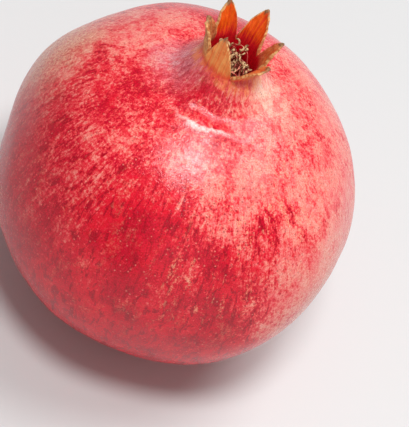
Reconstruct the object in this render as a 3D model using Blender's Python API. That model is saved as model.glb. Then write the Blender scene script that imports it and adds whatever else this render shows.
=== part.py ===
"""A ripe pomegranate standing on its base, with the dried calyx crown on top.

Units are metres and +Z is up. The origin is on the surface that the fruit stands on, under the middle
of the fruit's bounding box. One grown piece, the rind, carries the body, the neck and the six calyx
lobes. The dried stamens and the style stand in the cup of the crown, and the cut end of the stem sits
in the hollow of the base.
"""

import math

import bmesh
import bpy

MM = 0.001

# Body: an ellipsoid, a little wider than tall, cut flat where it rests.
BODY_RADIUS = 47.0 * MM
BODY_HALF_HEIGHT = 43.7 * MM
REST_RADIUS = 12.5 * MM
REST_SOFTENING = 4.0 * MM
RIDGES_DRIFT = math.radians(-33)  # the ridges turn by this much from the middle to the top

# Broad ridges and flats of the body: azimuth in degrees, height, and half width in degrees.
RIDGES = (
    (26, -2.0 * MM, 20),
    (98, 2.6 * MM, 22),
    (150, 2.0 * MM, 19),
    (188, -0.9 * MM, 14),
    (265, 1.2 * MM, 20),
    (317, 2.2 * MM, 18),
    (352, -0.4 * MM, 10),
)

# Hollow of the stem end, inside the flat ring that the fruit stands on.
HOLLOW_RADIUS = 9.0 * MM
HOLLOW_DEPTH = 3.6 * MM

# Neck: it flares from the shoulder up to the notches between the calyx lobes.
SHOULDER_RADIUS = 14.0 * MM
WAIST_RADIUS = 7.6 * MM
NOTCH_RISE = 49.6 * MM  # above the body's middle
NECK_CURVE = 2.2

# Cup inside the crown.
CUP_RADIUS = 5.6 * MM
CUP_DEPTH = 8.5 * MM
WALL_AT_NOTCH = 1.1 * MM
WALL_AT_TIP = 0.55 * MM

# Calyx lobes, anticlockwise from above: azimuth in degrees, length, lean of the tip outwards, and
# sideways drift of the tip, positive anticlockwise.
SEPALS = (
    (18, 9.0 * MM, 2.6 * MM, -0.6 * MM),
    (74, 10.2 * MM, 3.2 * MM, -0.4 * MM),
    (128, 10.4 * MM, 2.6 * MM, 0.3 * MM),
    (190, 10.2 * MM, 1.6 * MM, -0.8 * MM),
    (250, 12.0 * MM, 0.8 * MM, -0.3 * MM),
    (320, 7.4 * MM, 3.6 * MM, 1.6 * MM),
)
SEPAL_OUTLINE = 1.35  # 1 is a straight-sided triangle, more is fuller

# Mesh of the rind.
COLUMNS_PER_SEPAL = 12
HOLLOW_ROWS = 4
BELLY_ROWS = 20
NECK_ROWS = 6
SEPAL_ROWS = 7
CUP_ROWS = 4
FLOOR_ROWS = 3

# Stamens: rings of radius, count and height, standing on the floor of the cup.
STAMEN_RINGS = (
    (4.4 * MM, 12, 7.0 * MM),
    (2.9 * MM, 8, 6.2 * MM),
    (1.6 * MM, 4, 5.6 * MM),
)
FILAMENT_RADIUS = 0.20 * MM
ANTHER_RADIUS = 0.42 * MM
STAMEN_POINTS = 10
STAMEN_TWIST = math.radians(35)
STAMEN_GATHER = 0.12

STYLE_RADIUS = 0.35 * MM
STIGMA_RADIUS = 0.70 * MM
STYLE_HEIGHT = 6.6 * MM

STUB_RADIUS = 2.4 * MM
STUB_LENGTH = 2.2 * MM

GAP = 0.3 * MM  # between neighbouring pieces

BODY_MIDDLE = BODY_HALF_HEIGHT * math.sqrt(1 - (REST_RADIUS / BODY_RADIUS) ** 2)
NOTCH_Z = BODY_MIDDLE + NOTCH_RISE
FLOOR_Z = NOTCH_Z - CUP_DEPTH


def ellipsoid_height(radius):
    """Height of the body's ellipsoid above its middle at a distance from the axis."""
    return BODY_HALF_HEIGHT * math.sqrt(max(0.0, 1 - (radius / BODY_RADIUS) ** 2))


def ridge_factor(azimuth, radius, z):
    """Share by which the broad ridges widen the body at a place."""
    drifted = azimuth + RIDGES_DRIFT * (z - BODY_MIDDLE) / BODY_HALF_HEIGHT
    height = 0.0
    for degrees, peak, half_width in RIDGES:
        away = math.remainder(drifted - math.radians(degrees), math.tau)
        height += peak * math.exp(-((away / math.radians(half_width)) ** 2))
    return height / BODY_RADIUS * (radius / BODY_RADIUS) ** 2


def hollow_rows():
    """Distance from the axis and height of the stem hollow, from its middle to the flat ring."""
    for i in range(HOLLOW_ROWS):
        share = i / HOLLOW_ROWS
        yield HOLLOW_RADIUS * share, HOLLOW_DEPTH * math.cos(share * math.pi / 2) ** 1.5
    yield HOLLOW_RADIUS, 0.0


def belly_rows():
    """The body from the outer edge of the flat ring up to the shoulder."""
    low = math.asin(REST_RADIUS / BODY_RADIUS)
    high = math.pi - math.asin(SHOULDER_RADIUS / BODY_RADIUS)
    for i in range(BELLY_ROWS):
        angle = low + (high - low) * i / BELLY_ROWS
        radius = BODY_RADIUS * math.sin(angle)
        z = BODY_MIDDLE - BODY_HALF_HEIGHT * math.cos(angle)
        if angle < math.pi / 2:
            z *= 1 - math.exp(-(radius - REST_RADIUS) / REST_SOFTENING)
        yield radius, z


def neck_rows():
    """The neck from the shoulder to just below the notches."""
    rise = NOTCH_RISE - ellipsoid_height(WAIST_RADIUS)
    for i in range(NECK_ROWS):
        share = (i / NECK_ROWS) ** 0.8
        radius = SHOULDER_RADIUS + (WAIST_RADIUS - SHOULDER_RADIUS) * share
        yield radius, BODY_MIDDLE + ellipsoid_height(radius) + rise * share**NECK_CURVE


def cup_rows():
    """The wall and the floor of the cup, from just below the notches to the middle of the floor."""
    top_radius = WAIST_RADIUS - WALL_AT_NOTCH
    for i in range(1, CUP_ROWS + 1):
        share = i / CUP_ROWS
        yield top_radius + (CUP_RADIUS - top_radius) * share, NOTCH_Z - CUP_DEPTH * share
    for i in range(1, FLOOR_ROWS + 1):
        yield CUP_RADIUS * (1 - i / FLOOR_ROWS), FLOOR_Z


def sepal_column(column):
    """The sepal that a column of the mesh belongs to, its place across it from -1 to 1, and azimuth."""
    index, step = divmod(column, COLUMNS_PER_SEPAL)
    across = 2 * step / COLUMNS_PER_SEPAL - 1
    azimuth = SEPALS[index][0]
    before = SEPALS[index - 1][0] - (360 if index == 0 else 0)
    after = SEPALS[(index + 1) % len(SEPALS)][0] + (360 if index == len(SEPALS) - 1 else 0)
    neighbour = before if across < 0 else after
    return SEPALS[index], across, math.radians(azimuth + abs(across) * (neighbour - azimuth) / 2)


def sepal_rows(sepal, across):
    """Outer face upwards and inner face downwards: radius, height and sideways drift of each row."""
    _, length, lean, drift = sepal
    rim = length * (1 - abs(across) ** SEPAL_OUTLINE)
    rows = []
    for i in range(SEPAL_ROWS + 1):
        height = rim * i / SEPAL_ROWS
        share = height / length
        wall = WALL_AT_NOTCH + (WALL_AT_TIP - WALL_AT_NOTCH) * share
        outer = WAIST_RADIUS + lean * share**1.5
        rows.append((outer, wall, NOTCH_Z + height, drift * share**2))
    for outer, _, z, side in rows:
        yield outer, z, side
    for outer, wall, z, side in reversed(rows):
        yield outer - wall, z, side


def rind_column(column):
    """Every point of one column of the rind, from the stem hollow over the crown to the cup's floor."""
    sepal, across, azimuth = sepal_column(column)
    rows = [(radius, z, 0.0) for radius, z in (*hollow_rows(), *belly_rows(), *neck_rows())]
    rows += sepal_rows(sepal, across)
    rows += [(radius, z, 0.0) for radius, z in cup_rows()]
    points = []
    for radius, z, side in rows:
        outwards = radius * (1 + ridge_factor(azimuth, radius, z))
        x = outwards * math.cos(azimuth) - side * math.sin(azimuth)
        y = outwards * math.sin(azimuth) + side * math.cos(azimuth)
        points.append((x, y, z))
    return points


def paint(obj, colour, roughness):
    """Give an object its own plain material."""
    material = bpy.data.materials.new(obj.name)
    material.use_nodes = True
    shader = material.node_tree.nodes["Principled BSDF"]
    shader.inputs["Base Color"].default_value = (*colour, 1)
    shader.inputs["Roughness"].default_value = roughness
    shader.inputs["Metallic"].default_value = 0
    obj.data.materials.append(material)


def add_object(name, data, collection, parent):
    """Put an object in the fruit's collection, under its parent."""
    obj = bpy.data.objects.new(name, data)
    collection.objects.link(obj)
    obj.parent = parent
    return obj


def make_rind(collection, parent):
    """A sphere whose rings become the rows of the rind and whose meridians become its columns."""
    columns = COLUMNS_PER_SEPAL * len(SEPALS)
    grid = [rind_column(column) for column in range(columns)]
    rings = len(grid[0]) - 1
    mesh = bpy.data.meshes.new("rind")
    bm = bmesh.new()
    bmesh.ops.create_uvsphere(bm, u_segments=columns, v_segments=rings, radius=1)
    for vertex in bm.verts:
        x, y, z = vertex.co
        ring = rings - round(math.acos(max(-1.0, min(1.0, z))) / math.pi * rings)
        column = round(math.atan2(y, x) / math.tau * columns) % columns
        vertex.co = grid[column][ring]
    bmesh.ops.remove_doubles(bm, verts=bm.verts, dist=0.001 * MM)
    bmesh.ops.triangulate(bm, faces=bm.faces)
    bm.to_mesh(mesh)
    bm.free()
    mesh.shade_smooth()
    mesh.set_sharp_from_angle(angle=math.radians(50))
    rind = add_object("rind", mesh, collection, parent)
    paint(rind, (0.55, 0.03, 0.05), 0.38)
    return rind


def make_stalk(name, points, radii, collection, parent):
    """A thin closed stalk: a wire through points, as thick at each as its radius."""
    curve = bpy.data.curves.new(name, "CURVE")
    curve.dimensions = "3D"
    curve.bevel_depth = 1.0
    curve.bevel_resolution = 2
    curve.use_fill_caps = True
    spline = curve.splines.new("POLY")
    spline.points.add(len(points) - 1)
    for target, point, radius in zip(spline.points, points, radii):
        target.co = (*point, 1)
        target.radius = radius
    return add_object(name, curve, collection, parent)


def stamen_points(ring_radius, azimuth, height, phase):
    """A filament that leans and twists with its neighbours, and curls a little at its end."""
    for i in range(STAMEN_POINTS):
        share = i / (STAMEN_POINTS - 1)
        radius = ring_radius * (1 - STAMEN_GATHER * share)
        turned = azimuth + STAMEN_TWIST * share**2
        sway = 0.22 * MM * math.sin(phase + 4 * share) * share
        x = radius * math.cos(turned) + sway * math.cos(phase)
        y = radius * math.sin(turned) + sway * math.sin(phase)
        yield x, y, FLOOR_Z + GAP + height * share


def stamen_radius(share):
    """The anther swells near the end of the filament."""
    swelling = math.exp(-(((share - 0.86) / 0.12) ** 2))
    return FILAMENT_RADIUS + (ANTHER_RADIUS - FILAMENT_RADIUS) * swelling


def make_stamens(collection, parent):
    """Rings of dried stamens around the style."""
    number = 0
    radii = [stamen_radius(i / (STAMEN_POINTS - 1)) for i in range(STAMEN_POINTS)]
    for ring, (ring_radius, count, height) in enumerate(STAMEN_RINGS):
        for i in range(count):
            number += 1
            azimuth = math.tau * (i + 0.5 * (ring % 2)) / count
            phase = 2.4 * number
            tall = height * (1 + 0.08 * math.sin(phase))
            points = list(stamen_points(ring_radius, azimuth, tall, phase))
            stamen = make_stalk(f"stamen_{number:02d}", points, radii, collection, parent)
            paint(stamen, (0.42, 0.25, 0.12), 0.8)


def make_style(collection, parent):
    """The dried style in the middle of the cup, with its knob."""
    points = []
    radii = []
    for i in range(STAMEN_POINTS):
        share = i / (STAMEN_POINTS - 1)
        points.append((0.15 * MM * math.sin(3 * share), 0.0, FLOOR_Z + GAP + STYLE_HEIGHT * share))
        knob = math.exp(-(((share - 0.9) / 0.1) ** 2))
        radii.append(STYLE_RADIUS + (STIGMA_RADIUS - STYLE_RADIUS) * knob)
    style = make_stalk("style", points, radii, collection, parent)
    paint(style, (0.30, 0.14, 0.07), 0.75)


def make_stem_stub(collection, parent):
    """The cut end of the woody stem, recessed in the hollow of the base."""
    mesh = bpy.data.meshes.new("stem_stub")
    bm = bmesh.new()
    bmesh.ops.create_cone(
        bm,
        cap_ends=True,
        segments=16,
        radius1=STUB_RADIUS,
        radius2=STUB_RADIUS * 1.15,
        depth=STUB_LENGTH,
    )
    bm.to_mesh(mesh)
    bm.free()
    mesh.shade_smooth()
    mesh.set_sharp_from_angle(angle=math.radians(40))
    stub = add_object("stem_stub", mesh, collection, parent)
    hollow_edge = list(hollow_rows())[1][1]
    stub.location.z = hollow_edge - GAP - STUB_LENGTH / 2
    paint(stub, (0.20, 0.12, 0.06), 0.9)


def main():
    for obj in list(bpy.data.objects):
        bpy.data.objects.remove(obj, do_unlink=True)
    collection = bpy.data.collections.new("pomegranate")
    bpy.context.scene.collection.children.link(collection)
    base = bpy.data.objects.new("pomegranate_base", None)
    collection.objects.link(base)
    rind = make_rind(collection, base)
    make_stamens(collection, base)
    make_style(collection, base)
    make_stem_stub(collection, base)

    # The ridges make the body wider on some sides, so its axis stands beside the middle of its box.
    for axis in (0, 1):
        places = [vertex.co[axis] for vertex in rind.data.vertices]
        base.location[axis] = -(min(places) + max(places)) / 2


main()
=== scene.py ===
"""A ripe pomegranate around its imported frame: skin, calyx crown, stamens, stem end and studio."""

import math
import random

import bmesh
import bpy
import numpy as np
from mathutils import Matrix, Vector, noise


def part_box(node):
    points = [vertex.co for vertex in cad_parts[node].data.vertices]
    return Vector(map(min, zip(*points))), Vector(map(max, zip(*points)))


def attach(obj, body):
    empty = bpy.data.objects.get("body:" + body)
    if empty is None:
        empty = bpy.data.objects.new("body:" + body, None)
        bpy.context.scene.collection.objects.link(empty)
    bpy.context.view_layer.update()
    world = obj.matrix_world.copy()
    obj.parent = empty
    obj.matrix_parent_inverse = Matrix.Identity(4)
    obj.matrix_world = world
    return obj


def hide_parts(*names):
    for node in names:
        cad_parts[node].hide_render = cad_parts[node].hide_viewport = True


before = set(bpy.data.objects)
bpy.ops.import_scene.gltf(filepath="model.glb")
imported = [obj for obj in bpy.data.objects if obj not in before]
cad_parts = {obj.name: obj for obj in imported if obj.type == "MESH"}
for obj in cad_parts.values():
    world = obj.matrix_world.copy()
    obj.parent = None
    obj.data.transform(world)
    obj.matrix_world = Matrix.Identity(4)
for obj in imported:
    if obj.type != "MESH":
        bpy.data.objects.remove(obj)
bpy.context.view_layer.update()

MM = 0.001

# The fruit's axis passes through the middle of the cut stem.
STUB_LOW, STUB_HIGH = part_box("stem_stub")
AXIS_X = (STUB_LOW[0] + STUB_HIGH[0]) / 2
AXIS_Y = (STUB_LOW[1] + STUB_HIGH[1]) / 2

# Body, as in the frame.
BODY_RADIUS = 47.0 * MM
BODY_HALF_HEIGHT = 43.7 * MM
REST_RADIUS = 12.5 * MM
REST_SOFTENING = 4.0 * MM
RIDGES_DRIFT = math.radians(-33)
RIDGES = (  # azimuth in degrees, height, half width in degrees
    (26, -2.0 * MM, 20),
    (98, 2.6 * MM, 22),
    (150, 2.0 * MM, 19),
    (188, -0.9 * MM, 14),
    (265, 1.2 * MM, 20),
    (317, 2.2 * MM, 18),
    (352, -0.4 * MM, 10),
)
HOLLOW_RADIUS = 9.0 * MM
HOLLOW_DEPTH = 3.6 * MM
SHOULDER_RADIUS = 14.0 * MM
WAIST_RADIUS = 7.6 * MM
NOTCH_RISE = 49.6 * MM
NECK_CURVE = 2.2
CUP_RADIUS = 5.6 * MM
CUP_DEPTH = 8.5 * MM
WALL_AT_NOTCH = 1.1 * MM
WALL_AT_TIP = 0.6 * MM
BODY_MIDDLE = BODY_HALF_HEIGHT * math.sqrt(1 - (REST_RADIUS / BODY_RADIUS) ** 2)
NOTCH_Z = BODY_MIDDLE + NOTCH_RISE
FLOOR_Z = NOTCH_Z - CUP_DEPTH

# Calyx lobes, anticlockwise from above. Azimuth and notch are in degrees; notch turns the gap that
# follows a lobe. Lean, hook and roll are outwards: of the whole lobe, of its end and of its side edges.
# Fullness is 0 for straight sides and 1 for bulging ones, and dry is the share of tan on the lobe.
SEPALS = (
    dict(azimuth=18, notch=-9, length=9.2 * MM, lean=2.6 * MM, drift=-0.7 * MM,
         roll=0.9 * MM, twist=0.6 * MM, hook=0.2 * MM, fullness=0.62, dry=0.45),
    dict(azimuth=74, notch=0, length=10.3 * MM, lean=3.0 * MM, drift=-0.4 * MM,
         roll=-1.1 * MM, twist=0.2 * MM, hook=0.3 * MM, fullness=0.40, dry=0.0),
    dict(azimuth=128, notch=0, length=10.2 * MM, lean=2.4 * MM, drift=0.3 * MM,
         roll=-0.9 * MM, twist=-0.2 * MM, hook=0.4 * MM, fullness=0.56, dry=0.0),
    dict(azimuth=190, notch=0, length=10.2 * MM, lean=1.4 * MM, drift=-0.8 * MM,
         roll=-1.4 * MM, twist=0.7 * MM, hook=0.5 * MM, fullness=0.70, dry=0.75),
    dict(azimuth=250, notch=0, length=12.0 * MM, lean=0.5 * MM, drift=-0.3 * MM,
         roll=0.9 * MM, twist=0.5 * MM, hook=-0.5 * MM, fullness=0.52, dry=0.0),
    dict(azimuth=320, notch=0, length=7.6 * MM, lean=3.4 * MM, drift=1.7 * MM,
         roll=1.4 * MM, twist=-0.9 * MM, hook=0.3 * MM, fullness=0.60, dry=0.3),
)
SEPAL_EDGE_WIDTH = 0.38 * MM
SEPAL_TIP_BLUNTNESS = 0.03
NICK_HEIGHT = 0.30 * MM

# Crease round the foot of the neck, deepest at the front: distances from the axis, and widths.
CREASE_AZIMUTH = math.radians(-78)
CREASE_CREST = 17.4 * MM
CREASE_CREST_WIDTH = 1.3 * MM
CREASE_GROOVE = 13.8 * MM
CREASE_GROOVE_WIDTH = 2.2 * MM
FLUTE_HEIGHT = 0.40 * MM

# Mesh of the skin.
COLUMNS_PER_SEPAL = 64
HOLLOW_ROWS = 14
BELLY_ROWS = 112
NECK_ROWS = 26
SEPAL_ROWS = 24
CAP_ROWS = 3
CUP_ROWS = 8
FLOOR_ROWS = 5

# Each vertex of the skin's grid: its azimuth, radius, height and sideways drift, then what it lends
# to the shading.
SHADING_NAMES = ("sepal", "edge", "inside", "dry")
FIRST_SHADING = 4
SEPAL_COLUMN = 4
INSIDE_COLUMN = 6

STAMENS = 120

# Camera: it looks down on the front, and its roll leans the crown to the right.
CAMERA_ELEVATION = math.radians(48.6)
CAMERA_ROLL = math.radians(25.1)
CAMERA_DISTANCE = 0.6
CAMERA_LENS = 195.0
AIM_RIGHT = 7.3 * MM
AIM_UP = -8.7 * MM


# ---------------------------------------------------------------- shape of the skin

def smoothstep(low, high, value):
    share = np.clip((value - low) / (high - low), 0, 1)
    return share * share * (3 - 2 * share)


def angle_from(azimuth, middle):
    """How far an azimuth is from another one, from -pi to pi."""
    return np.angle(np.exp(1j * (azimuth - middle)))


def bell(away, width):
    return np.exp(-((away / width) ** 2))


def ellipsoid_height(radius):
    return BODY_HALF_HEIGHT * np.sqrt(np.maximum(0, 1 - (radius / BODY_RADIUS) ** 2))


def ridge_factor(azimuth, radius, z):
    drifted = azimuth + RIDGES_DRIFT * (z - BODY_MIDDLE) / BODY_HALF_HEIGHT
    height = np.zeros_like(radius)
    for degrees, peak, half_width in RIDGES:
        height += peak * bell(angle_from(drifted, math.radians(degrees)), math.radians(half_width))
    return height / BODY_RADIUS * (radius / BODY_RADIUS) ** 2


def lower_rows():
    """Distance from the axis and height from the stem hollow's middle up to the end of the neck."""
    rows = []
    for i in range(HOLLOW_ROWS):
        share = i / HOLLOW_ROWS
        rows.append((HOLLOW_RADIUS * share, HOLLOW_DEPTH * math.cos(share * math.pi / 2) ** 1.5))
    rows.append((HOLLOW_RADIUS, 0.0))
    low = math.asin(REST_RADIUS / BODY_RADIUS)
    high = math.pi - math.asin(SHOULDER_RADIUS / BODY_RADIUS)
    for i in range(BELLY_ROWS):
        angle = low + (high - low) * i / BELLY_ROWS
        radius = BODY_RADIUS * math.sin(angle)
        z = BODY_MIDDLE - BODY_HALF_HEIGHT * math.cos(angle)
        if angle < math.pi / 2:
            z *= 1 - math.exp(-(radius - REST_RADIUS) / REST_SOFTENING)
        rows.append((radius, z))
    rise = NOTCH_RISE - ellipsoid_height(WAIST_RADIUS)
    for i in range(NECK_ROWS):
        share = (i / NECK_ROWS) ** 0.8
        radius = SHOULDER_RADIUS + (WAIST_RADIUS - SHOULDER_RADIUS) * share
        rows.append((radius, BODY_MIDDLE + ellipsoid_height(radius) + rise * share**NECK_CURVE))
    return rows


def sepal_place(column):
    """The sepal of a column, its place across it from -1 to 1, and its azimuth."""
    index, step = divmod(column, COLUMNS_PER_SEPAL)
    even = 2 * step / COLUMNS_PER_SEPAL - 1
    across = math.copysign(abs(even) ** 1.25, even)
    azimuth = SEPALS[index]["azimuth"]
    if across < 0:
        before = SEPALS[index - 1]
        gap = (azimuth - before["azimuth"]) % 360
        edge = -gap / 2 + before["notch"]
    else:
        gap = (SEPALS[(index + 1) % len(SEPALS)]["azimuth"] - azimuth) % 360
        edge = gap / 2 + SEPALS[index]["notch"]
    return index, across, math.radians(azimuth + abs(across) * edge)


def sepal_point(index, across, height, side):
    """Radius, height and sideways drift on a sepal; side is 0 on its outer face and 1 on its inner."""
    sepal = SEPALS[index]
    share = height / sepal["length"]
    wall = WALL_AT_NOTCH + (WALL_AT_TIP - WALL_AT_NOTCH) * share
    rib = 0.16 * MM * math.exp(-((across / 0.16) ** 2)) + 0.05 * MM * math.cos(across * 22)
    crumple = noise.noise(Vector((across * 2.6, share * 4.0, index * 7.3))) * 0.55
    crumple += noise.noise(Vector((across * 9.0, share * 9.0, index * 3.7))) * 0.16
    radius = WAIST_RADIUS + sepal["lean"] * share**1.5 + sepal["hook"] * share**5
    radius += sepal["roll"] * abs(across) ** 2.5 * min(1.0, 2.2 * share) + sepal["twist"] * across * share
    radius += (rib * (0.5 - side) * 2 + crumple * MM) * share**0.5 - side * wall
    return radius, NOTCH_Z + height, sepal["drift"] * share**2


def sepal_outline(index, across):
    """Height of a sepal's edge: pointed, with sides that bulge by its fullness."""
    sepal = SEPALS[index]
    blunt = math.hypot(across, SEPAL_TIP_BLUNTNESS)
    pointed = 1 - sepal["fullness"]
    rim = sepal["length"] * max(0.0, 1 - pointed * blunt - sepal["fullness"] * blunt**2.6)
    if rim:
        nick = noise.noise(Vector((across * 6, index * 3.1, 0.5)))
        nick += 0.5 * noise.noise(Vector((across * 19, index, 4.5)))
        rim += NICK_HEIGHT * nick * (1 - abs(across))
    return max(0.0, rim)


def sepal_rows(index, across):
    """Radius, height, drift, share of the sepal, nearness to its edge, side and dryness of each row."""
    length = SEPALS[index]["length"]
    dry = SEPALS[index]["dry"]
    rim = sepal_outline(index, across)
    rows = []
    for side in (0, 1):
        part = []
        for i in range(SEPAL_ROWS + 1):
            height = rim * i / SEPAL_ROWS
            edge = math.exp(-(rim - height) / SEPAL_EDGE_WIDTH)
            part.append((*sepal_point(index, across, height, side), height / length, edge, side, dry))
        rows.append(part)
    outer, inner = rows[0], rows[1][::-1]
    top_out, top_in = outer[-1], inner[0]
    cap = []
    for i in range(1, CAP_ROWS + 1):
        angle = math.pi * i / (CAP_ROWS + 1)
        mix = (1 - math.cos(angle)) / 2
        radius = top_out[0] + (top_in[0] - top_out[0]) * mix
        bulge = 0.35 * abs(top_out[0] - top_in[0]) * math.sin(angle)
        cap.append((radius, top_out[1] + bulge, top_out[2], top_out[3], 1.0, mix, dry))
    return outer + cap + inner


def cup_rows():
    """Distance from the axis and height down the cup's wall and along its floor to the axis."""
    top_radius = WAIST_RADIUS - WALL_AT_NOTCH
    rows = []
    for i in range(1, CUP_ROWS + 1):
        share = i / CUP_ROWS
        rows.append((top_radius + (CUP_RADIUS - top_radius) * share, NOTCH_Z - CUP_DEPTH * share))
    for i in range(1, FLOOR_ROWS + 1):
        rows.append((CUP_RADIUS * (1 - i / FLOOR_ROWS), FLOOR_Z))
    return rows


def skin_grid():
    """Positions and shading attributes of every vertex, column by column and row by row."""
    columns = []
    low = [(r, z, 0.0, 0.0, 0.0, 0.0, 0.0) for r, z in lower_rows()]
    cup = [(r, z, 0.0, 0.0, 0.0, 1.0, 0.0) for r, z in cup_rows()]
    for column in range(COLUMNS_PER_SEPAL * len(SEPALS)):
        index, across, azimuth = sepal_place(column)
        rows = np.array(low + sepal_rows(index, across) + cup)
        columns.append(np.column_stack([np.full(len(rows), azimuth), rows]))
    return np.array(columns)


def fold_height(azimuth, radius, z):
    """Shallow folds of the neck and the crease at its foot, as a height along the surface's normal."""
    upper = z > BODY_MIDDLE
    below_notch = smoothstep(NOTCH_Z + 1 * MM, NOTCH_Z - 3 * MM, z)
    neck = smoothstep(20 * MM, 12 * MM, radius) * upper * below_notch
    flutes = np.zeros_like(radius)
    for sepal in SEPALS:
        flutes += bell(angle_from(azimuth, math.radians(sepal["azimuth"])), math.radians(15))
    front = bell(angle_from(azimuth, CREASE_AZIMUTH), math.radians(30))
    wavy = radius - 1.0 * MM * np.sin(5 * azimuth) - 0.5 * MM * np.sin(13 * azimuth + 1)
    crest = bell(wavy - CREASE_CREST, CREASE_CREST_WIDTH)
    groove = bell(wavy - CREASE_GROOVE, CREASE_GROOVE_WIDTH)
    crease = (crest - 0.9 * groove) * upper * below_notch
    return neck * flutes * FLUTE_HEIGHT + crease * (0.08 + 0.55 * front) * MM


def surface_normals(places):
    """Outward normals of the undisturbed grid."""
    along = np.gradient(places, axis=1)
    around = np.roll(places, -1, axis=0) - np.roll(places, 1, axis=0)
    normals = np.cross(around, along)
    return normals / np.maximum(np.linalg.norm(normals, axis=-1, keepdims=True), 1e-12)


def skin_places(grid):
    """Where each vertex of the skin goes, with its folds, dents and crepe."""
    azimuth, radius, z, drift = (grid[:, :, i] for i in range(FIRST_SHADING))
    outwards = radius * (1 + ridge_factor(azimuth, radius, z))
    places = np.stack([
        outwards * np.cos(azimuth) - drift * np.sin(azimuth),
        outwards * np.sin(azimuth) + drift * np.cos(azimuth),
        z,
    ], axis=-1)
    body = (grid[:, :, INSIDE_COLUMN] == 0) & (grid[:, :, SEPAL_COLUMN] == 0)
    lift = np.where(body, fold_height(azimuth, radius, z), 0)
    standing = smoothstep(0.3 * MM, 6 * MM, z)
    fade = smoothstep(NOTCH_Z + 0.5 * MM, NOTCH_Z - 3 * MM, z)
    for column, row in zip(*np.nonzero(body)):
        place = Vector(places[column, row])
        dents = noise.noise(place * 55) * 0.50 + noise.noise(place * 130) * 0.14
        crepe = noise.fractal(place * 480, 1.0, 2.1, 2) * 0.020
        lift[column, row] += (dents + crepe) * MM * standing[column, row] * fade[column, row]
    places = places + surface_normals(places) * lift[..., None]
    return places + np.array((AXIS_X, AXIS_Y, 0))


def add_object(name, data):
    obj = bpy.data.objects.new(name, data)
    bpy.context.scene.collection.objects.link(obj)
    return obj


def make_skin():
    """The skin: a sphere of rings and columns, moved onto the fruit's shape."""
    grid = skin_grid()
    places = skin_places(grid)
    columns, rings = grid.shape[0], grid.shape[1] - 1
    mesh = bpy.data.meshes.new("fruit_rind")
    bm = bmesh.new()
    layers = [bm.verts.layers.float.new(name) for name in SHADING_NAMES]
    bmesh.ops.create_uvsphere(bm, u_segments=columns, v_segments=rings, radius=1)
    for vertex in bm.verts:
        x, y, height = vertex.co
        ring = rings - round(math.acos(max(-1.0, min(1.0, height))) / math.pi * rings)
        column = round(math.atan2(y, x) / math.tau * columns) % columns
        vertex.co = places[column, ring]
        for layer, value in zip(layers, grid[column, ring, FIRST_SHADING:]):
            vertex[layer] = value
    bmesh.ops.remove_doubles(bm, verts=bm.verts, dist=0.0005 * MM)
    bm.to_mesh(mesh)
    bm.free()
    mesh.shade_smooth()
    return add_object("fruit_rind", mesh)


# ---------------------------------------------------------------- node helpers

class Graph:
    """Short names for the nodes that a material uses."""

    def __init__(self, name):
        self.material = bpy.data.materials.new(name)
        self.material.use_nodes = True
        self.nodes = self.material.node_tree.nodes
        self.links = self.material.node_tree.links
        self.shader = self.nodes["Principled BSDF"]

    def put(self, socket, value):
        if isinstance(value, bpy.types.NodeSocket):
            self.links.new(value, socket)
        elif value is not None:
            socket.default_value = value

    def place(self):
        return self.nodes.new("ShaderNodeTexCoord").outputs["Object"]

    def attribute(self, name):
        node = self.nodes.new("ShaderNodeAttribute")
        node.attribute_name = name
        return node.outputs["Fac"]

    def math(self, operation, a, b=None, c=None):
        node = self.nodes.new("ShaderNodeMath")
        node.operation = operation
        for socket, value in zip(node.inputs, (a, b, c)):
            self.put(socket, value)
        return node.outputs[0]

    def times(self, a, b):
        return self.math("MULTIPLY", a, b)

    def vector(self, operation, a, b=None):
        node = self.nodes.new("ShaderNodeVectorMath")
        node.operation = operation
        self.put(node.inputs[0], a)
        self.put(node.inputs[1], b)
        return node.outputs["Value" if operation in ("LENGTH", "DISTANCE") else "Vector"]

    def split(self, vector):
        node = self.nodes.new("ShaderNodeSeparateXYZ")
        self.links.new(vector, node.inputs[0])
        return node.outputs

    def join(self, x, y, z):
        node = self.nodes.new("ShaderNodeCombineXYZ")
        for socket, value in zip(node.inputs, (x, y, z)):
            self.put(socket, value)
        return node.outputs[0]

    def noise(self, vector, scale, detail, roughness, distortion=0.0):
        node = self.nodes.new("ShaderNodeTexNoise")
        self.put(node.inputs["Vector"], vector)
        node.inputs["Scale"].default_value = scale
        node.inputs["Detail"].default_value = detail
        node.inputs["Roughness"].default_value = roughness
        node.inputs["Distortion"].default_value = distortion
        return node.outputs["Fac"]

    def voronoi(self, vector, scale):
        node = self.nodes.new("ShaderNodeTexVoronoi")
        self.put(node.inputs["Vector"], vector)
        node.inputs["Scale"].default_value = scale
        return node.outputs["Distance"]

    def step(self, value, low, high, to_low=0.0, to_high=1.0):
        """A smooth step between two values; it falls where low is above high."""
        node = self.nodes.new("ShaderNodeMapRange")
        node.interpolation_type = "SMOOTHSTEP"
        self.put(node.inputs["Value"], value)
        node.inputs["From Min"].default_value = low
        node.inputs["From Max"].default_value = high
        node.inputs["To Min"].default_value = to_low
        node.inputs["To Max"].default_value = to_high
        return node.outputs["Result"]

    def mix(self, share, a, b, blend="MIX"):
        """Colour b over colour a by its share."""
        node = self.nodes.new("ShaderNodeMix")
        node.data_type = "RGBA"
        node.blend_type = blend
        self.put(node.inputs[0], share)
        self.put(node.inputs[6], a)
        self.put(node.inputs[7], b)
        return node.outputs[2]

    def bump(self, height, distance, strength=1.0, normal=None):
        node = self.nodes.new("ShaderNodeBump")
        node.inputs["Strength"].default_value = strength
        node.inputs["Distance"].default_value = distance
        self.put(node.inputs["Height"], height)
        self.put(node.inputs["Normal"], normal)
        return node.outputs["Normal"]


def srgb(red, green, blue):
    """A colour from its 8-bit screen values."""
    def linear(value):
        share = value / 255
        return share / 12.92 if share <= 0.04045 else ((share + 0.055) / 1.055) ** 2.4
    return (linear(red), linear(green), linear(blue), 1.0)


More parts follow.
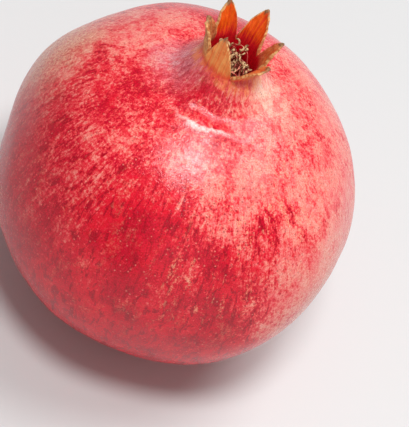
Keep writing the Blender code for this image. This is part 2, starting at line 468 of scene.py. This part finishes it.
def direction(azimuth, latitude):
    """Unit vector from the body's middle towards a place given in degrees."""
    a, b = math.radians(azimuth), math.radians(latitude)
    return (math.cos(b) * math.cos(a), math.cos(b) * math.sin(a), math.sin(b))


# ---------------------------------------------------------------- materials

# Where the skin is paler (positive) or redder: azimuth, latitude, reach and softness in degrees, change.
PALENESS = (
    (10, 28, 54, 14, 0.12),
    (-22, 0, 22, 12, 0.07),
    (-64, 46, 14, 10, 0.095),
    # Painted highlight: paler skin round the highlight below the neck.
    (-82, 62, 13, 9, 0.03),
    (-124, 38, 20, 12, 0.05),
    (-72, 14, 12, 9, 0.02),
    (168, 24, 20, 12, 0.09),
    (158, 58, 18, 12, 0.105),
    (-165, 60, 24, 14, 0.02),
    (-96, 32, 12, 9, -0.06),
    (-98, 2, 36, 18, -0.055),
    (-70, -8, 22, 10, -0.06),
    (-44, 38, 10, 9, -0.065),
    (-56, 21, 9, 8, -0.06),
    (-46, -10, 8, 7, -0.06),
    (100, 22, 26, 18, -0.04),
    (75, -25, 28, 16, 0.08),
    (-100, -38, 34, 16, -0.05),
)


class SkinGraph(Graph):
    """The rind's material: coordinates and noises that its colours, gloss and relief share."""

    def __init__(self):
        super().__init__("rind")
        self.from_middle = self.vector("SUBTRACT", self.place(), (AXIS_X, AXIS_Y, BODY_MIDDLE))
        self.height = self.split(self.from_middle)[2]
        self.ball = self.vector("NORMALIZE", self.from_middle)
        self.x, self.y, self.z = self.split(self.ball)

        # The outlines of the patches wander, coarsely and finely.
        self.ragged = self.noise(self.ball, 15, 4, 0.7)
        wander = self.noise(self.ball, 3.2, 3, 0.6)
        self.offset = self.math("ADD", self.times(self.math("SUBTRACT", wander, 0.5), 0.55),
                                self.times(self.math("SUBTRACT", self.ragged, 0.5), 0.35))

        # Places whose noise is fine along the parallels and long down the meridians.
        self.flat = self.vector("NORMALIZE", self.join(self.x, self.y, 0.0))
        self.fx, self.fy, _ = self.split(self.flat)
        self.upper = self.step(self.z, 0.62, 0.86)
        self.fibre_place = self.join(self.fx, self.fy, self.times(self.z, 0.42))
        self.crown_place = self.join(self.math("MULTIPLY_ADD", self.fx, 0.3, self.x),
                                     self.math("MULTIPLY_ADD", self.fy, 0.3, self.y), self.z)

        self.flecks = self.fibres(30, 3, 0.62, 0.6)
        self.clusters = self.noise(self.join(self.x, self.y, self.times(self.z, 0.6)), 11, 4, 0.66, 0.6)
        self.blotch = self.noise(self.ball, 5.5, 5, 0.62, 0.3)
        self.sponge = self.noise(self.ball, 58, 3, 0.68, 0.5)
        self.grain = self.noise(self.ball, 120, 2, 0.7)
        self.speck = self.noise(self.from_middle, 1500, 4, 0.7)

    def patch(self, azimuth, latitude, reach, soft):
        """1 inside a patch of the skin and 0 outside it."""
        away = self.vector("DISTANCE", self.ball, direction(azimuth, latitude))
        away = self.math("MULTIPLY_ADD", self.offset, min(1.0, reach / 20), away)
        near = 2 * math.sin(math.radians(max(0, reach - soft)) / 2)
        far = 2 * math.sin(math.radians(reach + soft) / 2)
        return self.step(away, far, near)

    def fibres(self, scale, detail, roughness, warp):
        """Streaky noise, with a rounder one near the crown, where the meridians draw together."""
        low = self.noise(self.fibre_place, scale, detail, roughness, warp)
        top = self.noise(self.crown_place, scale * 0.8, detail, roughness, warp)
        return self.math("MULTIPLY_ADD", self.upper, self.math("SUBTRACT", top, low), low)

    def paleness(self):
        """How pale the skin is: its patches, broken up by clusters of flecks."""
        pale = 0.0
        for azimuth, latitude, reach, soft, change in PALENESS:
            pale = self.math("MULTIPLY_ADD", self.patch(azimuth, latitude, reach, soft), change, pale)
        hairs = self.fibres(74, 2, 0.6, 0.4)
        broken = self.math("MULTIPLY_ADD", self.flecks, 0.34, self.times(hairs, 0.20))
        broken = self.math("MULTIPLY_ADD", self.sponge, 0.34, broken)
        broken = self.math("MULTIPLY_ADD", self.clusters, 0.28, broken)
        broken = self.math("MULTIPLY_ADD", self.blotch, 0.24, broken)
        return self.math("ADD", broken, pale)

    def ground(self):
        """Crimson to salmon, by how pale the skin is."""
        level = self.paleness()
        red = self.mix(self.step(self.blotch, 0.38, 0.60), srgb(200, 2, 38), srgb(228, 18, 44))
        lower_more = self.math("MULTIPLY_ADD", self.upper, -0.45, 0.8)
        streak = self.times(self.step(self.flecks, 0.48, 0.38), lower_more)
        deep = self.mix(streak, red, srgb(168, 0, 30))
        pink = self.mix(self.step(self.clusters, 0.42, 0.58), srgb(242, 112, 110), srgb(244, 136, 124))
        skin = self.mix(self.step(level, 0.675, 0.745), deep, srgb(234, 50, 62))
        skin = self.mix(self.step(level, 0.725, 0.835), skin, pink)
        return self.mix(self.times(self.step(level, 0.83, 0.93), 0.5), skin, srgb(246, 160, 148))

    def zones(self, skin):
        """Beige end of the pale side, khaki patch high on the left, and painted shade that darkens the left
        side.
        """
        speckled = self.step(self.sponge, 0.42, 0.58)
        beige = self.mix(speckled, srgb(226, 122, 112), srgb(240, 186, 164))
        skin = self.mix(self.times(self.patch(-14, -4, 24, 12), 0.55), skin, beige)
        khaki = self.mix(speckled, srgb(206, 112, 92), srgb(228, 178, 140))
        skin = self.mix(self.times(self.patch(170, 24, 18, 12), 0.7), skin, khaki)
        # Painted shade: a darker crimson over the left side, which faces away from the lights.
        return self.mix(self.times(self.patch(-148, 2, 30, 16), 0.60), skin, srgb(176, 10, 36))

    def mottles(self, skin):
        """Cream mottles, thickest where the skin is thinly coloured."""
        mottle = self.times(self.step(self.fibres(15, 5, 0.75, 0.6), 0.53, 0.62),
                            self.step(self.sponge, 0.44, 0.54))
        where = self.math("MAXIMUM", self.patch(-68, 18, 13, 10), self.patch(60, 0, 40, 20))
        where = self.math("MAXIMUM", self.patch(-50, 44, 15, 10), where)
        share = self.times(mottle, self.math("MULTIPLY_ADD", where, 0.52, 0.12))
        return self.mix(share, skin, srgb(248, 176, 136))

    def neck(self, skin):
        """Painted light on the neck: a grey-pink painted sheen on its left, a pale painted highlight streak
        on its right, a painted highlight along the crest of its crease, and painted shade in the groove
        inside the crest.
        """
        # Painted sheen: grey-pink laid over the neck's left, where its surface catches the light.
        painted_sheen = self.times(self.patch(-170, 75, 8, 8), self.step(self.flecks, 0.34, 0.6, 0.35, 0.75))
        skin = self.mix(painted_sheen, skin, srgb(222, 150, 160))
        # Painted highlight: a pale whitish streak on the neck's right.
        painted_gleam = self.times(self.patch(-10, 75, 6, 6), self.step(self.clusters, 0.38, 0.60, 0.3, 0.9))
        skin = self.mix(painted_gleam, skin, srgb(252, 206, 184))

        px, py, _ = self.split(self.from_middle)
        radius = self.vector("LENGTH", self.join(px, py, 0.0))
        waver = self.math("SUBTRACT", self.noise(self.flat, 3.5, 3, 0.6), 0.5)
        crooked = self.math("MULTIPLY_ADD", waver, -5 * MM, radius)
        # Painted highlight: a whitish-pink line along the crest of the crease, where the ridge catches the
        # light.
        painted_crest_highlight = self.times(self.step(crooked, 16.2 * MM, 16.9 * MM), self.step(crooked, 18.2 * MM, 17.1 * MM))
        rough = self.step(self.sponge, 0.30, 0.50, 0.3, 0.9)
        painted_crest_highlight = self.times(painted_crest_highlight, self.times(self.patch(-84, 71, 8, 4), rough))
        skin = self.mix(painted_crest_highlight, skin, srgb(252, 200, 194))
        # Painted shade: darker red in the groove between the crest and the neck.
        shade = self.times(self.step(crooked, 16.4 * MM, 14.8 * MM), self.step(crooked, 11.5 * MM, 13.5 * MM))
        shade = self.times(shade, self.times(self.patch(-85, 74, 13, 6), 0.35))
        return self.mix(shade, skin, srgb(196, 10, 40))

    def dots(self, skin):
        """Lenticels: tiny dark dots where the skin is mottled, pale pores elsewhere, and a fine grain."""
        clustered = self.times(self.step(self.clusters, 0.5, 0.6), 0.7)
        dotted = self.math("MAXIMUM", self.patch(-64, 32, 26, 12), clustered)
        dark = self.times(self.step(self.voronoi(self.ball, 44), 0.30, 0.14), dotted)
        skin = self.mix(self.times(dark, 0.6), skin, srgb(140, 10, 26))
        pores = self.times(self.step(self.voronoi(self.ball, 30), 0.20, 0.08),
                           self.step(self.blotch, 0.55, 0.45))
        skin = self.mix(self.times(pores, 0.45), skin, srgb(250, 160, 140))
        speckle = self.mix(self.step(self.grain, 0.36, 0.64), (0.0, 0.0, 0.0, 1), (1.0, 1.0, 1.0, 1))
        return self.mix(0.45, skin, speckle, "SOFT_LIGHT")

    def cork(self, skin):
        """Corky brown around the stem."""
        share = self.times(self.step(self.z, -0.93, -0.985), self.step(self.ragged, 0.3, 0.6, 0.5, 1.0))
        return self.mix(share, skin, srgb(140, 96, 62))

    def calyx(self, skin):
        """Lobes: orange outside, red to orange inside, tan edges, brown tips, and some of them drier; painted
        shade darkens the cup towards its floor.
        """
        sepal, edge, inside, dry = (self.attribute(name) for name in SHADING_NAMES)
        thread_place = self.join(self.math("ADD", self.fx, self.x), self.math("ADD", self.fy, self.y),
                                 self.times(self.z, 1.6))
        thread = self.noise(thread_place, 12, 4, 0.66, 0.8)
        banded = self.step(thread, 0.28, 0.72)
        speckled = self.step(self.speck, 0.4, 0.6)
        shift = self.math("SUBTRACT", thread, 0.5)

        outside = self.mix(banded, srgb(246, 112, 40), srgb(252, 180, 100))
        outside = self.mix(self.step(self.speck, 0.56, 0.68, 0, 0.35), outside, srgb(208, 92, 40))
        foot = self.step(self.math("MULTIPLY_ADD", shift, 0.5, sepal), 0.24, -0.02)
        outside = self.mix(foot, outside, srgb(240, 84, 44))
        rise = self.math("MULTIPLY_ADD", shift, 12 * MM, self.height)
        tinge = self.step(rise, NOTCH_RISE - 4.5 * MM, NOTCH_RISE - 0.5 * MM, 0, 0.6)
        tinge = self.times(tinge, self.step(self.clusters, 0.46, 0.56, 0.1, 1.0))
        skin = self.mix(tinge, skin, srgb(252, 156, 84))
        skin = self.mix(self.step(rise, NOTCH_RISE - 1.6 * MM, NOTCH_RISE + 1.2 * MM), skin, outside)

        within = self.mix(banded, srgb(228, 58, 2), srgb(250, 108, 8))
        within = self.mix(self.step(self.speck, 0.54, 0.68, 0, 0.45), within, srgb(170, 40, 8))
        deep_red = self.mix(self.step(thread, 0.3, 0.7), srgb(196, 2, 22), srgb(232, 20, 40))
        above = self.step(self.math("MULTIPLY_ADD", shift, 1.1, sepal), 0.10, 0.46)
        within = self.mix(above, deep_red, within)
        # Painted shade: darker red further down the cup.
        well = self.step(self.height, NOTCH_RISE - 3.0 * MM, NOTCH_RISE - 7.5 * MM)
        within = self.mix(well, within, srgb(140, 4, 14))
        skin = self.mix(self.step(inside, 0.35, 0.65), skin, within)

        tan = self.mix(speckled, srgb(160, 112, 66), srgb(214, 170, 112))
        dried = self.times(self.step(sepal, 0.0, 0.25), self.step(thread, 0.36, 0.5, 0.55, 1.0))
        skin = self.mix(self.times(dry, dried), skin, tan)
        rim = self.mix(self.step(thread, 0.4, 0.6), srgb(186, 104, 54), srgb(240, 190, 126))
        at_rim = self.step(self.math("MULTIPLY_ADD", shift, 0.5, edge), 0.62, 0.90, 0, 0.85)
        skin = self.mix(at_rim, skin, rim)
        brown = self.mix(speckled, srgb(84, 54, 36), srgb(140, 98, 64))
        at_tip = self.step(self.math("MULTIPLY_ADD", shift, 0.35, sepal), 0.87, 0.98)
        return self.mix(self.times(at_tip, 0.8), skin, brown)

    def relief(self, calyx):
        """Fine creases that run round the fruit, finer grain, fibres, and the lobes' roughness."""
        crepe_place = self.join(self.x, self.y, self.times(self.z, 1.7))
        creases = self.math("SUBTRACT", self.noise(crepe_place, 38, 2, 0.5, 1.4), 0.5)
        normal = self.bump(self.math("ABSOLUTE", creases), 0.22 * MM, 0.5)
        normal = self.bump(self.grain, 0.03 * MM, 0.4, normal)
        normal = self.bump(self.flecks, 0.05 * MM, 0.4, normal)
        return self.bump(self.times(self.speck, calyx), 0.12 * MM, 0.8, normal)


def skin_material():
    """Satin wax on the skin, and a drier calyx."""
    g = SkinGraph()
    skin = g.ground()
    for layer in (g.zones, g.mottles, g.neck, g.dots, g.cork, g.calyx):
        skin = layer(skin)
    g.put(g.shader.inputs["Base Color"], skin)
    calyx = g.step(g.height, NOTCH_RISE - 3 * MM, NOTCH_RISE + 1 * MM)
    wax = g.math("MULTIPLY_ADD", g.sponge, 0.28, 0.10)
    g.put(g.shader.inputs["Roughness"], g.math("MULTIPLY_ADD", calyx, 0.3, wax))
    g.put(g.shader.inputs["Normal"], g.relief(calyx))
    g.shader.inputs["Specular IOR Level"].default_value = 0.42
    g.shader.inputs["Subsurface Weight"].default_value = 0.04
    g.shader.inputs["Subsurface Radius"].default_value = (1.0, 0.25, 0.15)
    g.shader.inputs["Subsurface Scale"].default_value = 0.003
    return g.material


def plain_material(name, light, dark, roughness, scale, relief):
    """A dry plant surface: two colours in a fibrous noise, with a fine relief."""
    g = Graph(name)
    place = g.place()
    fibre = g.noise(place, scale, 5, 0.7, 0.6)
    g.put(g.shader.inputs["Base Color"], g.mix(g.step(fibre, 0.36, 0.64), dark, light))
    g.put(g.shader.inputs["Roughness"], g.math("MULTIPLY_ADD", fibre, 0.2, roughness - 0.1))
    g.put(g.shader.inputs["Normal"], g.bump(g.noise(place, scale * 4, 3, 0.6), relief, 0.7))
    return g.material


# ---------------------------------------------------------------- stamens, style and stem end

def wires(name, strands):
    """One curve object of many tapered strands, each a list of points with their radii."""
    curve = bpy.data.curves.new(name, "CURVE")
    curve.dimensions = "3D"
    curve.bevel_depth = 1.0
    curve.bevel_resolution = 2
    curve.use_fill_caps = True
    for strand in strands:
        spline = curve.splines.new("POLY")
        spline.points.add(len(strand) - 1)
        for target, (point, radius) in zip(spline.points, strand):
            target.co = (*point, 1)
            target.radius = radius
        spline.use_smooth = True
    return add_object(name, curve)


def filament(rng, number):
    """A strand from the cup's floor upwards, taller at the back left."""
    azimuth = rng.uniform(0, math.tau)
    start = CUP_RADIUS * math.sqrt(rng.uniform(0.05, 0.92))
    lifted = max(0.0, math.cos(azimuth - math.radians(130))) * 1.4 * MM
    top = NOTCH_Z + rng.uniform(-4.0, 0.4) * MM + lifted
    gather = rng.uniform(0.6, 1.06)
    bend = rng.uniform(-0.9, 0.9)
    strand = []
    for i in range(14):
        share = i / 13
        turned = azimuth + bend * share**2
        wave = 0.25 * MM * math.sin(5 * share + number)
        radius = start * (1 + (gather - 1) * share) + wave
        point = Vector((
            AXIS_X + radius * math.cos(turned),
            AXIS_Y + radius * math.sin(turned),
            FLOOR_Z + 0.1 * MM + (top - FLOOR_Z) * math.sin(share * math.pi / 2),
        ))
        strand.append((point, (0.19 - 0.07 * share) * MM))
    return strand


def anther(rng, strand):
    """A fat curl at the end of a filament."""
    end = strand[-1][0]
    heading = (end - strand[-3][0]).normalized()
    side = heading.orthogonal().normalized()
    side.rotate(Matrix.Rotation(rng.uniform(0, math.tau), 3, heading))
    curl = rng.uniform(0.35, 0.75) * MM
    length = rng.uniform(2.0, 4.4)
    fat = rng.uniform(0.20, 0.36) * MM
    points = []
    for i in range(9):
        share = i / 8
        angle = length * share
        point = end + heading * curl * math.sin(angle) + side * curl * (1 - math.cos(angle))
        swelling = math.sin(math.pi * min(0.97, max(0.06, share))) ** 0.6
        points.append((point, fat * swelling))
    return points


def make_stamens():
    """Dried stamens: filaments from the cup's floor, each with a curled anther."""
    rng = random.Random(11)
    filaments = []
    anthers = []
    for number in range(STAMENS):
        filaments.append(filament(rng, number))
        anthers.append(anther(rng, filaments[-1]))
    return wires("stamen_filaments", filaments), wires("stamen_anthers", anthers)


def make_stem_end():
    """The cut stem: a ribbed woody peg with a rough, slightly hollow end."""
    low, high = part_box("stem_stub")
    radius = (high[0] - low[0]) / 2
    mesh = bpy.data.meshes.new("stem_end")
    bm = bmesh.new()
    bmesh.ops.create_uvsphere(bm, u_segments=72, v_segments=36, radius=1)
    for vertex in bm.verts:
        x, y, z = vertex.co
        azimuth = math.atan2(y, x)
        polar = math.acos(max(-1.0, min(1.0, z))) / math.pi
        out = min(1.0, math.sin(polar * math.pi) * 1.6)
        height = math.copysign(min(1.0, abs(z) * 1.35), z)
        rib = 1 + 0.05 * math.cos(9 * azimuth) + 0.05 * noise.noise(Vector((3 * x, 3 * y, 2 * z)))
        size = radius * 0.97 * out * rib * (1 - 0.07 * (1 - height) / 2)
        dish = 0.25 * MM * (1 - out) if z < 0 else 0
        tall = (high[2] - low[2]) / 2 * (height + 0.04 * noise.noise(Vector((7 * x, 7 * y, z))))
        vertex.co = (
            AXIS_X + size * math.cos(azimuth),
            AXIS_Y + size * math.sin(azimuth),
            (low[2] + high[2]) / 2 + tall + dish,
        )
    bm.to_mesh(mesh)
    bm.free()
    mesh.shade_smooth()
    return add_object("stem_end", mesh)


# ---------------------------------------------------------------- studio

def camera_axes():
    """The camera's right, up and backward directions."""
    back = Vector((0, -math.cos(CAMERA_ELEVATION), math.sin(CAMERA_ELEVATION)))
    level = Vector((1, 0, 0))
    upright = back.cross(level)
    right = level * math.cos(CAMERA_ROLL) + upright * math.sin(CAMERA_ROLL)
    return right, back.cross(right), back


def make_camera():
    right, up, back = camera_axes()
    data = bpy.data.cameras.new("camera")
    data.lens = CAMERA_LENS
    data.sensor_width = 36
    data.clip_start = 0.02
    camera = add_object("camera", data)
    aim = Vector((0, 0, BODY_MIDDLE)) + right * AIM_RIGHT + up * AIM_UP
    turn = Matrix((right, up, back)).transposed().to_4x4()
    camera.matrix_world = Matrix.Translation(aim + back * CAMERA_DISTANCE) @ turn
    bpy.context.scene.camera = camera


def make_light(name, heading, distance, size, power):
    """A soft round light that faces the fruit from a heading given along the camera's axes."""
    right, up, back = camera_axes()
    towards = (right * heading[0] + up * heading[1] + back * heading[2]).normalized()
    data = bpy.data.lights.new(name, "AREA")
    data.shape = "DISK"
    data.size = size
    data.energy = power
    light = add_object(name, data)
    light.location = Vector((0, 0, BODY_MIDDLE)) + towards * distance
    light.rotation_mode = "QUATERNION"
    light.rotation_quaternion = towards.to_track_quat("Z", "Y")


def make_studio():
    """A plain pale floor, an even sky and three soft lights."""
    mesh = bpy.data.meshes.new("floor")
    bm = bmesh.new()
    bmesh.ops.create_grid(bm, x_segments=1, y_segments=1, size=3)
    bm.to_mesh(mesh)
    bm.free()
    floor = add_object("floor", mesh)
    g = Graph("floor")
    g.shader.inputs["Base Color"].default_value = (0.70, 0.70, 0.70, 1)
    g.shader.inputs["Roughness"].default_value = 0.7
    mesh.materials.append(g.material)

    world = bpy.data.worlds.new("studio")
    world.use_nodes = True
    background = world.node_tree.nodes["Background"]
    background.inputs["Color"].default_value = (1, 1, 1, 1)
    background.inputs["Strength"].default_value = 0.25
    bpy.context.scene.world = world

    make_light("key", (0.60, 0.60, 0.52), 1.0, 0.60, 5.8)
    make_light("front", (0.19, 0.35, 0.91), 0.9, 0.22, 4.5)
    make_light("low", (0.05, -0.62, 0.78), 1.0, 0.80, 0.9)


# ---------------------------------------------------------------- the fruit

def main():
    make_camera()
    rind = skin_material()
    skin = make_skin()
    skin.data.materials.append(rind)
    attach(skin, "root")
    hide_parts("rind")

    filaments, anthers = make_stamens()
    filaments.data.materials.append(
        plain_material("filament", srgb(226, 140, 116), srgb(176, 48, 48), 0.6, 700, 0.05 * MM))
    anthers.data.materials.append(
        plain_material("anther", srgb(222, 190, 140), srgb(112, 64, 34), 0.75, 900, 0.08 * MM))
    stamens = [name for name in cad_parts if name.startswith("stamen_")]
    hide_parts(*stamens)
    for piece in (filaments, anthers):
        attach(piece, "root")

    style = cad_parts["style"]
    style.data.materials.clear()
    style.data.materials.append(
        plain_material("style", srgb(150, 92, 54), srgb(84, 44, 24), 0.7, 800, 0.06 * MM))

    stem = make_stem_end()
    stem.data.materials.append(
        plain_material("stem", srgb(134, 100, 66), srgb(66, 44, 28), 0.85, 420, 0.15 * MM))
    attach(stem, "root")
    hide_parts("stem_stub")

    make_studio()
    bpy.context.scene.view_settings.view_transform = "Standard"


main()
